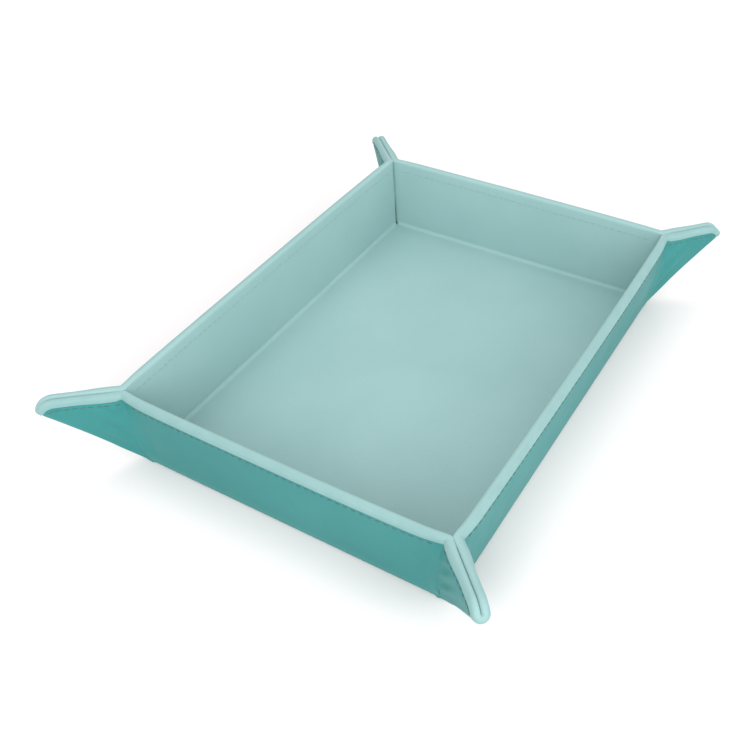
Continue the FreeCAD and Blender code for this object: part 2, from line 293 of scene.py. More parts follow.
def shell(name, grid, thick, outward, material, wear_and_shade=None):
    """A sheet from the grid of its visible face; outward is that face's direction at the grid's middle."""
    rows, columns = grid.shape[:2]
    normals = grid_normals(grid)
    flip = float(normals[rows // 2, columns // 2] @ np.array(outward)) < 0
    if flip:
        normals = -normals
    back = grid - normals * thick
    points = np.concatenate([grid.reshape(-1, 3), back.reshape(-1, 3)])
    points[:, 2] = np.maximum(points[:, 2], 0)
    count = rows * columns
    faces = quads(rows, columns, 0, flip) + quads(rows, columns, count, not flip)
    border = list(range(columns))
    border += [row * columns + columns - 1 for row in range(1, rows)]
    border += [(rows - 1) * columns + column for column in range(columns - 2, -1, -1)]
    border += [row * columns for row in range(rows - 2, 0, -1)]
    for a, b in zip(border, border[1:] + border[:1]):
        face = (b, a, a + count, b + count)
        faces.append(face if not flip else face[::-1])
    shade = None if wear_and_shade is None else np.concatenate([wear_and_shade.ravel(), wear_and_shade.ravel()])
    return new_piece(name, points, faces, material, shade)


# ---- materials
def node_material(name):
    material = bpy.data.materials.new(name)
    material.use_nodes = True
    tree = material.node_tree
    tree.nodes.clear()
    output = tree.nodes.new("ShaderNodeOutputMaterial")
    shader = tree.nodes.new("ShaderNodeBsdfPrincipled")
    tree.links.new(shader.outputs["BSDF"], output.inputs["Surface"])
    place = tree.nodes.new("ShaderNodeTexCoord")
    return material, tree, shader, place.outputs["Object"]


def wire(tree, node, inputs):
    """Set each input of a node to a number or a colour, or link it to another node's output."""
    for socket, value in inputs.items():
        if isinstance(value, bpy.types.NodeSocket):
            tree.links.new(value, node.inputs[socket])
        else:
            node.inputs[socket].default_value = value


def add_node(tree, kind, inputs):
    node = tree.nodes.new("ShaderNode" + kind)
    wire(tree, node, inputs)
    return node


def noise(tree, place, scale, detail, roughness=0.5):
    inputs = {"Vector": place, "Scale": scale, "Detail": detail, "Roughness": roughness}
    return add_node(tree, "TexNoise", inputs).outputs["Fac"]


def ramp(tree, value, stops):
    node = add_node(tree, "ValToRGB", {"Fac": value})
    elements = node.color_ramp.elements
    while len(elements) < len(stops):
        elements.new(0.5)
    for element, (position, colour) in zip(elements, stops):
        element.position = position
        element.color = (*colour, 1)
    return node.outputs["Color"]


def mix(tree, factor, first, second):
    node = tree.nodes.new("ShaderNodeMix")
    node.data_type = "RGBA"
    tree.links.new(factor, node.inputs["Factor"])
    for socket, value in (("A", first), ("B", second)):
        target = next(s for s in node.inputs if s.name == socket and s.type == "RGBA")
        if isinstance(value, tuple):
            target.default_value = (*value, 1)
        else:
            tree.links.new(value, target)
    return next(s for s in node.outputs if s.type == "RGBA")


def remap(tree, value, low, high, start=0.0, end=1.0):
    inputs = {"Value": value, "From Min": start, "From Max": end, "To Min": low, "To Max": high}
    return add_node(tree, "MapRange", inputs).outputs["Result"]


def arithmetic(tree, operation, first, second):
    node = add_node(tree, "Math", {0: first, 1: second})
    node.operation = operation
    return node.outputs["Value"]


def dress(tree, shader, colour, rough, height, strength, distance):
    """Link the shader's colour and roughness, and its normal to a bump of that height."""
    bump = add_node(tree, "Bump", {"Height": height, "Strength": strength, "Distance": distance})
    wire(tree, shader, {"Base Color": colour, "Roughness": rough, "Normal": bump.outputs["Normal"]})


def leatherette(name, dark, pale, worn_and_shaded, roughness, grain, sheen):
    """Embossed leatherette: cloudy colour, pebbled grain, and a second colour mixed in by a per-point
    attribute: lighter rubbed wear on the cover, painted shade on the lining.
    """
    material, tree, shader, place = node_material(name)
    colour = ramp(tree, noise(tree, place, 18, 4, 0.55), [(0.36, dark), (0.64, pale)])
    pebbles = add_node(tree, "TexVoronoi", {"Vector": place, "Scale": 1250})
    specks = arithmetic(tree, "MULTIPLY", noise(tree, place, 2600, 3), 0.6)
    grainy = arithmetic(tree, "ADD", pebbles.outputs["Distance"], specks)
    shade = remap(tree, grainy, 0.0, 0.10, 0.35, 1.1)
    colour = mix(tree, shade, colour, tuple(0.72 * value for value in dark))
    # The per-point attribute mixes in, in patches, rubbed wear on the cover and painted shade on the
    # lining's rims and at its walls' feet.
    attribute = add_node(tree, "Attribute", {})
    attribute.attribute_name = "wear_and_shade"
    patches = remap(tree, noise(tree, place, 160, 3), 0.35, 1.0)
    patchy = arithmetic(tree, "MULTIPLY", attribute.outputs["Fac"], patches)
    colour = mix(tree, patchy, colour, worn_and_shaded)
    rough = remap(tree, noise(tree, place, 90, 3), roughness - 0.06, roughness + 0.07)
    wire(tree, shader, {"Sheen Weight": sheen, "Sheen Roughness": 0.45, "Specular IOR Level": 0.24})
    dress(tree, shader, colour, rough, grainy, grain, 0.06 * MM)
    return material


def thread_material(name, dark, pale):
    material, tree, shader, place = node_material(name)
    wave = add_node(tree, "TexWave", {"Vector": place, "Scale": 900, "Distortion": 1.5})
    wave.bands_direction = "DIAGONAL"
    twist = wave.outputs["Fac"]
    colour = ramp(tree, twist, [(0.1, dark), (0.8, pale)])
    wire(tree, shader, {"Sheen Weight": 0.3})
    dress(tree, shader, colour, remap(tree, twist, 0.62, 0.48), twist, 0.5, 0.08 * MM)
    return material


def card_material(name, dark, pale):
    """Grey board: matted fibres and a few darker flecks."""
    material, tree, shader, place = node_material(name)
    fibre = noise(tree, place, 700, 6, 0.7)
    colour = ramp(tree, fibre, [(0.3, dark), (0.7, pale)])
    flecked = remap(tree, noise(tree, place, 2200, 2), 0.0, 0.5, 0.62, 0.75)
    colour = mix(tree, flecked, colour, tuple(0.45 * value for value in dark))
    dress(tree, shader, colour, remap(tree, fibre, 0.82, 0.95), fibre, 0.35, 0.1 * MM)
    return material


def nickel_material():
    material, tree, shader, place = node_material("nickel_plate")
    scuff = noise(tree, place, 900, 5, 0.65)
    colour = ramp(tree, scuff, [(0.3, (0.46, 0.45, 0.43)), (0.7, (0.66, 0.65, 0.62))])
    wire(tree, shader, {"Metallic": 1.0})
    dress(tree, shader, colour, remap(tree, scuff, 0.18, 0.42), scuff, 0.15, 0.03 * MM)
    return material


# The lining's third colour is darker than its own: painted shade on the lips of its rims and at the walls'
# feet. The cover's is lighter: rubbed wear.
LINING = leatherette("leatherette_lining", dark=(0.246, 0.404, 0.399), pale=(0.268, 0.427, 0.421),
                     worn_and_shaded=(0.170, 0.310, 0.306), roughness=0.56, grain=0.22, sheen=0.08)
COVER = leatherette("leatherette_cover", dark=(0.026, 0.193, 0.187), pale=(0.033, 0.211, 0.205),
                    worn_and_shaded=(0.09, 0.31, 0.30), roughness=0.52, grain=0.25, sheen=0.02)
THREAD = thread_material("sewing_thread", (0.018, 0.110, 0.106), (0.040, 0.165, 0.160))
PALE_THREAD = thread_material("sewing_thread_pale", (0.160, 0.300, 0.295), (0.250, 0.410, 0.400))
BOARD = card_material("bookbinding_board", (0.30, 0.28, 0.25), (0.46, 0.44, 0.40))
CARD = card_material("flap_card", (0.46, 0.44, 0.39), (0.66, 0.63, 0.58))
NICKEL = nickel_material()
# The two sheets: kind, whether it is the lining, thickness, the side it faces, material.
SHEETS = (("lining", True, LINING_THICK, 1, LINING), ("cover", False, COVER_THICK, -1, COVER))


# ---- shape of the sheets
def bump_at(distance, span):
    return np.exp(-(distance / span) ** 2)


def soft_wave(first, second, phase):
    """Slow unevenness of a hand-made sheet, from three crossed waves."""
    return (np.sin(first / 0.017 + 1.3 * phase) * np.sin(second / 0.023 + phase)
            + 0.6 * np.sin((first + second) / 0.031 + 2.1 * phase)
            + 0.4 * np.sin(second / 0.009 - first / 0.041 + phase)) / 2


def roll_depth(inset):
    """Depth of the roll's outer face, by the distance inside the sheet's edge."""
    short = np.clip(1 - inset / HALF, 0, 1)
    return -HALF * (1 - short ** RIM_SQUARE) ** (1 / RIM_SQUARE)


def make_roll():
    """The rolled edge from the lining over to the cover: distance along it, inset from the edge, depth."""
    points = []
    for angle in np.linspace(0, math.pi, 41):
        cosine, sine = math.cos(angle), math.sin(angle)
        depth = math.copysign(abs(cosine) ** (2 / RIM_SQUARE), cosine)
        proud = LIP_PROUD * max(-cosine, 0) ** 2
        points.append((HALF * (1 - sine ** (2 / RIM_SQUARE)), HALF * depth - proud))
    points.append((HALF + 0.5 * (RIM_LIP - HALF), -HALF - LIP_PROUD))
    points.append((RIM_LIP - 0.1 * MM, -HALF - LIP_PROUD))
    points.append((RIM_LIP + 0.02 * MM, -HALF - 0.6 * LIP_PROUD))
    points.append((RIM_LIP, -HALF + 0.35 * MM))
    points = np.array(points)
    steps = np.linalg.norm(np.diff(points, axis=0), axis=1)
    return np.concatenate([[0], np.cumsum(steps)]), points


ROLL_RUN, ROLL = make_roll()
ROLL_STOPS = np.concatenate([np.linspace(0, 0.84, 17), [0.88, 0.92, 0.955, 0.98, 1.0]]) * ROLL_RUN[-1]


def sides_of(level):
    """How far a point of the roll is towards the lining's face, and how far towards the cover's."""
    return np.clip(level / HALF, 0, 1), np.clip(-level / HALF, 0, 1)


def roll_point(run, neck):
    """A point of the roll: distance inside the edge and depth; near a flap crease the roll is shorter."""
    top = 0.40 * ROLL_RUN[-1]
    loss = LIP_LOSS * bump_at(neck, NECK_SPAN)
    run = np.where(run > top, top + (run - top) * (1 - loss), run)
    inset, level = np.interp(run, ROLL_RUN, ROLL[:, 0]), np.interp(run, ROLL_RUN, ROLL[:, 1])
    fill = NECK_FILL * bump_at(neck, NECK_FILL_SPAN) * sides_of(level)[0]
    return inset * (1 - fill), level


def ear_roll(run, neck):
    """A point of the roll round an ear, where the groove between the two rolls is shallower."""
    inset, level = roll_point(run, neck)
    return inset * (1 - EAR_FILL * fade(neck / NECK_FILL_SPAN) * sides_of(level)[0]), level


def fade(value):
    """From nothing at 0 to all at 1."""
    value = np.clip(value, 0, 1)
    return value * value * (3 - 2 * value)


def neck_sink(neck, inset):
    """How far the outer faces draw together, by the distances from the flap crease and the edge."""
    return NECK_SINK * bump_at(neck, NECK_SINK_SPAN) * (1 - fade((inset - 2 * MM) / (14 * MM)))


def valley_fill(away, rise, inset):
    """How far the cover stands off beside a flap crease, drawn across the hollow of the corner."""
    share = np.clip(1 - np.maximum(away, 0) / VALLEY, 0, 1) ** 2
    return VALLEY * FOLD_SLOPE / 2 * share * fade(rise / (7 * MM)) * fade((inset - 3 * MM) / (10 * MM))


def cover_inset(inset, neck):
    """The cover climbs over the roll near a flap crease."""
    return inset - COVER_CLIMB * bump_at(neck, NECK_SPAN) * (1 - fade((inset - 1.6 * MM) / (2.4 * MM)))


def groove(inset, neck):
    """How far the cover sinks beside the rim's end."""
    end, _ = roll_point(np.array(ROLL_RUN[-1]), neck)
    return GROOVE_DEPTH * bump_at(inset - end - 0.15 * MM, GROOVE_WIDTH) * (1 - bump_at(neck, NECK_SPAN))


def cover_level(inset, neck):
    """Depth of the cover's flat face or of its climb over the roll."""
    over_roll = np.where(inset < HALF, -0.12 * MM, 0)
    return roll_depth(inset) + over_roll + neck_sink(neck, inset) + groove(inset, neck)


COVER_INSETS = np.array([7.0, 6.2, 5.5, 4.9, 4.4, 4.0, 3.7, 3.45, 3.2, 3.0, 2.8, 2.5, 2.2, 1.9, 1.6]) * MM
LINING_INSETS = np.array([7.0, 6.0, 5.2, 4.5, 3.8, 3.1, 2.5]) * MM


def wall_shift(panel_name, rise, share):
    """Depth that a wall's faces move by: the bow and the slow waves."""
    phase = 1.0 + list(WALLS).index(panel_name)
    free = (1 - share ** 2) * np.clip(rise / WALL_HEIGHT, 0, 1)
    wave = WAVE * soft_wave(share * 0.1, rise, phase) * (1 - share ** 6) * np.clip(rise / (8 * MM), 0, 1)
    return -BOW * free + wave


def face_puff(rise, share):
    height = np.clip(rise / (WALL_HEIGHT - HALF), 0, 1)
    return PUFF * np.sin(math.pi * height) ** 0.8 * (1 - share ** 8)


def base_to_wall(outward, up):
    """A point beside the crease, given outward and up from it, in the wall's rise and depth."""
    rise = outward * math.sin(LEAN) + up * math.cos(LEAN)
    depth = -outward * math.cos(LEAN) + up * math.sin(LEAN)
    return rise, depth


STRIP_ROWS = 5


def fold_rows(lining, half):
    """Rows of a wall's sheet over the base strip and round the base crease: rise, depth and half reach."""
    if lining:
        radius, up = FILLET, HALF + FILLET
        outward = up * (math.sin(LEAN) - 1) / math.cos(LEAN)
        flat = HALF
    else:
        radius, up, outward, flat = HALF, 0.0, 0.0, -HALF
    rows = []
    for place in np.linspace(-STRIP, outward, STRIP_ROWS + 1)[:-1]:
        rows.append((*base_to_wall(place, flat), half + place))
    first_half = half + outward
    for angle in np.linspace(-math.pi / 2, -LEAN, 9):
        point = base_to_wall(outward + radius * math.cos(angle), up + radius * math.sin(angle))
        share = (angle + math.pi / 2) / (math.pi / 2 - LEAN)
        last_half = half - SETBACK + point[0] * FLARE
        rows.append((*point, first_half + (last_half - first_half) * share))
    return rows


def wall_columns(half):
    """Shares of the wall's half length, closer together at its ends."""
    even = np.linspace(-1, 1, 105 if half == HALF_LENGTH else 81)
    return 0.3 * np.sin(even * math.pi / 2) + 0.7 * even


def wall_end(wall, rise):
    """Half the wall's length between its flap creases, at a height."""
    return WALLS[wall][2] - SETBACK + rise * FLARE


def wall_lining_row(wall, rise, shares):
    neck = wall_end(wall, rise) * (1 - np.abs(shares))
    return HALF + wall_shift(wall, rise, shares) + face_puff(rise, shares) + crease_nip(neck, rise)


def wall_cover_row(wall, rise, shares):
    neck = wall_end(wall, rise) * (1 - np.abs(shares))
    inset = cover_inset(WALL_HEIGHT - rise, neck)
    fill = valley_fill(neck, rise, inset)
    depth = cover_level(inset, neck) + wall_shift(wall, rise, shares) - face_puff(rise, shares) - fill
    return inset, depth, fill * FOLD_SLOPE


def past_crease(panel, lining, rise, reach, depth, side, hinge):
    """A row carried on past a flap crease, so that no slit shows there at any angle.

    The lining's face goes on round the crease, and the cover goes on behind the next panel's cover.
    """
    if lining:
        steps = np.arange(1, ARC_STEPS + 1)
        angle = ARC_TURN * steps / ARC_STEPS
        front = max(depth, 0) * hinge
        out = front * np.sin(angle) + steps * ARC_STEP_OUT
        sunk = depth - front * (1 - np.cos(angle)) - ARC_SHRINK * steps / ARC_STEPS
    else:
        steps = np.arange(1, TUCK_STEPS + 1)
        out = steps * TUCK_STEP_OUT
        sunk = depth + TUCK_DEPTH + TUCK_SLOPE * steps
    return panel.place(rise - out * math.sin(FLARE_ANGLE), reach + side * out * math.cos(FLARE_ANGLE), sunk)


def with_wear_and_shade(rows, wear_and_shade):
    """The rows of points as one grid, and each row's wear and painted shade at all of its points."""
    grid = np.array(rows)
    return grid, np.repeat(np.array(wear_and_shade)[:, None], grid.shape[1], axis=1)


def rim_shade(level):
    """Painted shade of the rolled rim: none on the lining's face, all on the lip."""
    return float(fade((HALF - np.mean(level)) / THICKNESS))


def wall_grid(wall, lining):
    """The visible face of a wall's lining or cover, from its base strip to the rim, and its wear and painted
    shade.
    """
    panel = wall_panel(wall)
    shares = wall_columns(WALLS[wall][2])
    even = np.ones(len(shares))
    rows = []
    wear_and_shade = []
    fold = fold_rows(lining, WALLS[wall][2])
    for number, (rise, depth, reach) in enumerate(fold[:-1]):
        rows.append((rise * even, reach * shares, depth * even, number > len(fold) - 4))
        wear_and_shade.append(0.0)
    insets = LINING_INSETS if lining else COVER_INSETS
    heights = np.linspace(fold[-1][0], WALL_HEIGHT - insets[0], 14)
    for rise in np.concatenate([heights[:-1], WALL_HEIGHT - insets]):
        reach = shares * wall_end(wall, rise)
        if lining:
            height, depth = rise * even, wall_lining_row(wall, rise, shares)
        else:
            inset, depth, back = wall_cover_row(wall, rise, shares)
            height = WALL_HEIGHT - inset
            reach = reach - np.sign(shares) * back
        rows.append((height, reach, depth, True))
        # Painted shade darkens the lining in the fold at the wall's foot; the cover is lightened there by
        # rubbed wear.
        wear_and_shade.append(0.3 * bump_at(rise, 3 * MM))
    if lining:
        neck = wall_end(wall, WALL_HEIGHT) * (1 - np.abs(shares))
        for run in ROLL_STOPS:
            inset, level = roll_point(run + 0 * shares, neck)
            inner, outer = sides_of(level)
            depth = level + outer * neck_sink(neck, 0) + inner * crease_nip(neck, WALL_HEIGHT)
            depth = depth + wall_shift(wall, WALL_HEIGHT, shares)
            rows.append((WALL_HEIGHT - inset, shares * wall_end(wall, WALL_HEIGHT - inset), depth, True))
            # The rim's lip darkens with painted shade as it turns over to the cover's side.
            wear_and_shade.append(rim_shade(level))
    points = []
    for height, reach, depth, hinge in rows:
        first = past_crease(panel, lining, height[0], reach[0], depth[0], -1, hinge)
        last = past_crease(panel, lining, height[-1], reach[-1], depth[-1], 1, hinge)
        points.append(np.concatenate([first[::-1], panel.place(height, reach, depth), last]))
    return with_wear_and_shade(points, wear_and_shade)


def corner_outline(count):
    """Points of a flap's free edge from its neck to the ear's ridge, with the edge's outward direction."""
    neck = np.array([WALL_HEIGHT, WALL_HEIGHT * FLARE])
    centre = np.array([CORNER_CENTRE, CORNER_CENTRE + SETBACK])
    to_neck = neck - centre
    first = math.atan2(to_neck[1], to_neck[0]) + math.acos(CORNER_RADIUS / np.linalg.norm(to_neck))
    touch = centre + CORNER_RADIUS * np.array([math.cos(first), math.sin(first)])
    straight = np.linalg.norm(touch - neck)
    arc = CORNER_RADIUS * (math.pi / 4 - first)
    crease = np.array([math.cos(FLARE_ANGLE), math.sin(FLARE_ANGLE)])
    lengths = np.linspace(0, straight + arc, count)
    points = []
    normals = []
    for length in lengths:
        angle = first + max(length - straight, 0) / CORNER_RADIUS
        normal = np.array([math.cos(angle), math.sin(angle)])
        if length < straight:
            point = neck + (touch - neck) * length / straight
        else:
            point = centre + CORNER_RADIUS * normal
        normal = normal + (crease - normal) * bump_at(length, 5 * MM)
        if length == 0:
            normal = crease
        points.append(point)
        normals.append(normal / np.linalg.norm(normal))
    return np.array(points), np.array(normals), lengths


def ear_swell(rise, reach):
    """How far a flap stands away from its ear's middle, by its distance from the crease."""
    away = np.clip(crease_distance(rise, reach), 0, None)
    return EAR_SWELL * (away / EAR_SWELL_AT) ** 1.5


def crease_nip(neck, rise):
    """The lining swells beside a flap crease, which shuts the slit of the corner but for its foot."""
    return CREASE_NIP * bump_at(neck, CREASE_NIP_SPAN) * fade((rise - 9 * MM) / (9 * MM))


def ear_press(rise, reach):
    """Inside an ear the two linings lie against each other below the rim."""
    below_rim = fade((edge_inset(rise, reach) - 0.3 * MM) / (1.1 * MM))
    clear = fade(crease_distance(rise, reach) / (5 * MM))
    return (EAR_PRESS + ear_swell(rise, reach)) * below_rim * clear


def edge_inset(rise, reach):
    """Distance inside the flap's free edge."""
    run = np.clip((reach - WALL_HEIGHT * FLARE) / (CORNER_CENTRE + SETBACK - WALL_HEIGHT * FLARE), 0, 1)
    straight = WALL_HEIGHT + CORNER_FLARE * run - rise
    past = np.maximum(reach - CORNER_CENTRE - SETBACK, 0)
    rounded = CORNER_RADIUS - np.hypot(np.maximum(rise - CORNER_CENTRE, 0), past)
    return np.where(past > 0, rounded, straight)


def ear_thin(rise, reach):
    """How far a flap's cover draws in beside the fold under its ear."""
    ridge = np.clip((rise + SETBACK - reach) / math.sqrt(2), 0, None)
    clear_of_rim = np.clip((edge_inset(rise, reach) - 2 * MM) / (24 * MM), 0, 1)
    clear_of_crease = fade(crease_distance(rise, reach) / (3.5 * MM))
    return EAR_THIN * bump_at(ridge, EAR_THIN_SPAN) * clear_of_rim * clear_of_crease


def flap_lining_level(rise, reach):
    crease = crease_distance(rise, reach)
    nip = crease_nip(np.clip(crease, 0, None), rise) * (1 - fade(crease / (5 * MM)))
    return HALF - ear_swell(rise, reach) + ear_press(rise, reach) + nip


def flap_cover_level(inset, rise, reach, phase):
    crease = np.clip(crease_distance(rise, reach), 0, None)
    ridge = np.clip((rise + SETBACK - reach) / math.sqrt(2), 0, None)
    from_rim = edge_inset(rise, reach) - 2.6 * MM
    free = fade(crease / (5 * MM)) * fade(ridge / (6 * MM)) * fade(from_rim / (5 * MM))
    lean = rise - 0.9 * crease + 1.5 * MM * np.sin(crease / (4 * MM))
    depth = bump_at(crease - WRINKLE_AT, WRINKLE_SPAN)
    wrinkle = np.sin(2 * math.pi * (lean / WRINKLE_LENGTH) + phase) * depth
    shift = -ear_swell(rise, reach) + ear_thin(rise, reach) - free * (BULGE + WRINKLE * wrinkle)
    return cover_level(inset, crease) + shift - valley_fill(crease, rise, inset)


def below_heel(rise):
    """Everything below the base crease lies just inside the wall's own fold."""
    return 1 - 0.06 * np.clip(-rise / HEEL, 0, 1)


FLAP_COLUMNS = 45


def flap_grid(panel, lining, phase):
    """The visible face of a flap's lining or cover, in a fan from the heel to the edge, and the painted
    shade of its rim.
    """
    edge, normals, lengths = corner_outline(FLAP_COLUMNS)
    share = np.linspace(0, 1, FLAP_COLUMNS)
    heel_reach = -HEEL * FLARE + share * (SETBACK - HEEL + HEEL * FLARE)
    heel = np.stack([np.full(FLAP_COLUMNS, -HEEL), heel_reach], axis=-1)
    insets = LINING_INSETS if lining else COVER_INSETS
    top = edge - insets[0] * normals
    rows = []
    for height in np.linspace(0, 1, 19)[:-1]:
        place = heel + (top - heel) * height
        rows.append((place, None if lining else edge_inset(*place.T), None))
    for inset in insets:
        inset = inset + 0 * lengths if lining else cover_inset(inset, lengths)
        rows.append((edge - inset[:, None] * normals, inset, None))
    if lining:
        for run in ROLL_STOPS:
            inset, level = ear_roll(run + 0 * lengths, lengths)
            rows.append((edge - inset[:, None] * normals, inset, level))
    points = []
    for place, inset, level in rows:
        rise, reach = place.T
        if level is not None:
            inner, outer = sides_of(level)
            nip = crease_nip(lengths, rise) + ear_press(rise, reach)
            depth = level - ear_swell(rise, reach) + inner * nip + outer * neck_sink(lengths, 0)
        elif lining:
            depth = flap_lining_level(rise, reach)
        else:
            depth = flap_cover_level(inset, rise, reach, phase)
            crease = crease_distance(rise, reach)
            reach = reach + valley_fill(crease, rise, inset) * FOLD_SLOPE
        depth = depth * below_heel(rise)
        first = past_crease(panel, lining, rise[0], reach[0], depth[0], -1, True)
        points.append(np.concatenate([first[::-1], panel.place(rise, reach, depth)]))
    return with_wear_and_shade(points, [0.0 if level is None else rim_shade(level) for _, _, level in rows])


def ear_frame(panel):
    """The ear's ridge, from the flap of the long wall: its start, its direction, inward and across."""
    start = panel.origin + panel.basis @ np.array([0, SETBACK, panel.side * EAR_MIDDLE])
    ridge = panel.along(math.sqrt(0.5), math.sqrt(0.5))
    inside = panel.along(math.sqrt(0.5), -math.sqrt(0.5))
    return start, ridge, inside, -panel.inward()


def ear_flat(place):
    """How far out the cover's fold under an ear stands, as a share of its radius: least at the heel."""
    flat = 1 - EAR_FLAT * min(max((TIP - place - 3 * MM) / (30 * MM), 0), 1)
    return flat * (HEEL_FLAT + (1 - HEEL_FLAT) * float(fade(place / (14 * MM))))


def ear_grid(panel, cover):
    """The fold of an ear: the flap's section along its ridge, turned half round the ridge, and its wear and
    painted shade.
    """
    start, ridge, inside, across = ear_frame(panel)
    far = 10 * CORNER_RADIUS
    rows = []
    insets = COVER_INSETS if cover else LINING_INSETS
    lower = np.linspace(-HEEL * math.sqrt(2), TIP - insets[0], 32 if cover else 20)[:-1]
    for place in np.concatenate([lower, TIP - insets]):
        rise = place / math.sqrt(2)
        if cover:
            level = flap_cover_level(np.array(TIP - place), rise, rise + SETBACK, 0)
            rows.append((place, float(level), ear_flat(place), COVER_RUB))
        else:
            rows.append((place, float(flap_lining_level(rise, rise + SETBACK)), 1.0, 0.0))
    if not cover:
        for run in ROLL_STOPS:
            inset, level = ear_roll(run, far)
            rise = (TIP - inset) / math.sqrt(2)
            press = float(sides_of(level)[0] * ear_press(rise, rise + SETBACK))
            swell = float(ear_swell(rise, rise + SETBACK))
            rows.append((TIP - inset, level - swell + press, 1.0, rim_shade(level)))
    # No column lies in the ear's middle plane, at 90 degrees, where the two flaps part.
    angles = np.radians(np.concatenate([np.linspace(0, 81, 11), np.linspace(99, 180, 11)]))
    points = []
    for place, level, flat, _ in rows:
        rise = place / math.sqrt(2)
        radius = (EAR_MIDDLE - level * float(below_heel(rise))) * float(pinch(rise, rise + SETBACK))
        sideways = radius * np.cos(angles)[:, None] * across
        outward = radius * flat * np.sin(angles)[:, None] * -inside
        pulled = float(pull_share(rise, rise + SETBACK)) * panel.pull
        row = start + place * ridge + pulled + sideways + outward
        row[:, 2] = np.maximum(row[:, 2], EAR_FOOT)
        points.append(row)
    return with_wear_and_shade(points, [row[3] for row in rows])


# ---- stitches
def stitch_mesh(name, spots):
    """Short threads that dip into the leatherette at both ends.

    Each spot has a place, a direction along the row, the direction off the sheet, how far the thread stands
    off it, and whether it is on the lining.
    """
    rings, sides = 7, 7
    points = []
    faces = []
    for number, (place, direction, outward, lift, _) in enumerate(spots):
        direction = direction / np.linalg.norm(direction)
        across = np.cross(outward, direction)
        lean = 0.10 * math.sin(1.7 * number)
        direction = direction * math.cos(lean) + across * math.sin(lean)
        across = np.cross(outward, direction)
        base = len(points)
        for ring in range(rings):
            share = ring / (rings - 1) * 2 - 1
            centre = place + direction * share * STITCH_LENGTH / 2
            centre = centre + outward * STITCH_RADIUS * (lift - 1.3 * share ** 4)
            radius = STITCH_RADIUS * (1 - 0.35 * share ** 2)
            for side in range(sides):
                angle = 2 * math.pi * side / sides
                points.append(centre + radius * (across * math.cos(angle) + 0.8 * outward * math.sin(angle)))
        faces += ring_faces(rings, sides, base)
        faces.append(tuple(base + side for side in range(sides))[::-1])
        faces.append(tuple(base + (rings - 1) * sides + side for side in range(sides)))
    piece = new_piece(name, np.array(points), faces, THREAD)
    piece.data.materials.append(PALE_THREAD)
    per_stitch = len(faces) // len(spots)
    for index in [index for index, spot in enumerate(spots) if spot[4]]:
        for face in range(index * per_stitch, (index + 1) * per_stitch):
            piece.data.polygons[face].material_index = 1
    return piece


def wall_stitches(wall):
    panel = wall_panel(wall)
    spots = []
    for inset, sign in ((OUTER_ROW, -1), (INNER_ROW, 1)):
        rise = WALL_HEIGHT - inset
        reach = wall_end(wall, rise)
        count = int(2 * (reach - 3.2 * MM) / STITCH_PITCH)
        for number in range(count):
            place = (number - (count - 1) / 2) * STITCH_PITCH
            share = np.array(place / reach)
            depth = wall_lining_row(wall, rise, share) if sign > 0 else wall_cover_row(wall, rise, share)[1]
            spots.append((panel.place(rise, place, depth), panel.along(0, 1.0), sign * panel.inward(),
                          0.5, sign > 0))
    return stitch_mesh(f"stitches_{wall}_wall", spots)


def flap_stitches(name, panel, phase):
    """A row on each face; the row inside an ear is pressed into the lining."""
    edge, normals, lengths = corner_outline(400)
    spots = []
    for inset, sign, first, last in ((OUTER_ROW, -1, 3.4 * MM, lengths[-1] - 1.5 * MM),
                                     (INNER_ROW, 1, 7.0 * MM, lengths[-1] - 6.0 * MM)):
        line = edge - inset * normals
        for length in np.arange(first, last, STITCH_PITCH):
            at = int(np.searchsorted(lengths, length))
            rise, reach = line[at]
            ahead = line[min(at + 4, len(line) - 1)] - line[max(at - 4, 0)]
            if sign > 0:
                depth = flap_lining_level(rise, reach)
            else:
                depth = flap_cover_level(np.array(inset), rise, reach, phase)
            lift = 0.5 if sign < 0 else 0.1
            spots.append((panel.place(rise, reach, depth), panel.along(*ahead), sign * panel.inward(),
                          lift, sign > 0))
    return stitch_mesh(name, spots)


# ---- pieces
def finish_piece(piece, slot, *nodes):
    if nodes:
        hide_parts(*nodes)


def make_base():
    """The middle of the lining and of the cover, inside the strips that go with the walls."""
    width, length = HALF_WIDTH - STRIP, HALF_LENGTH - STRIP
    x, y = np.meshgrid(np.linspace(-width, width, 61), np.linspace(-length, length, 89))
    still = (1 - (x / width) ** 8) * (1 - (y / length) ** 8)
    for kind, lining, thick, sign, material in SHEETS:
        level = THICKNESS + FLOOR_WAVE * soft_wave(x, y, 0.4) * still if lining else 0 * x
        grid = np.stack([x, y, level], axis=-1)
        piece = shell(f"{kind}_floor", grid, thick, (0, 0, sign), material)
        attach(piece, "base")
        finish_piece(piece, kind, f"{kind}_base")


def make_wall(wall):
    panel = wall_panel(wall)
    for kind, lining, thick, sign, material in SHEETS:
        grid, wear_and_shade = wall_grid(wall, lining)
        outward = outward_at(grid, sign * panel.inward(), 20)
        piece = shell(f"{kind}_{wall}", grid, thick, outward, material, wear_and_shade)
        rows = fold_rows(lining, WALLS[wall][2])
        start, end = (panel.place(rise, 0, depth) for rise, depth, _ in (rows[STRIP_ROWS], rows[-1]))
        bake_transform(piece)
        finish_piece(piece, kind, f"{kind}_{wall}_wall")
    stitches = wall_stitches(wall)
    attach(stitches, f"{wall}_wall")
    finish_piece(stitches, "thread", f"thread_{wall}_wall")


def outward_at(grid, direction, row):
    """The direction in which the grid's middle faces, if that row faces the given direction."""
    normals = grid_normals(grid)
    column = grid.shape[1] // 2
    middle = normals[grid.shape[0] // 2, column]
    return middle if float(normals[row, column] @ direction) > 0 else -middle


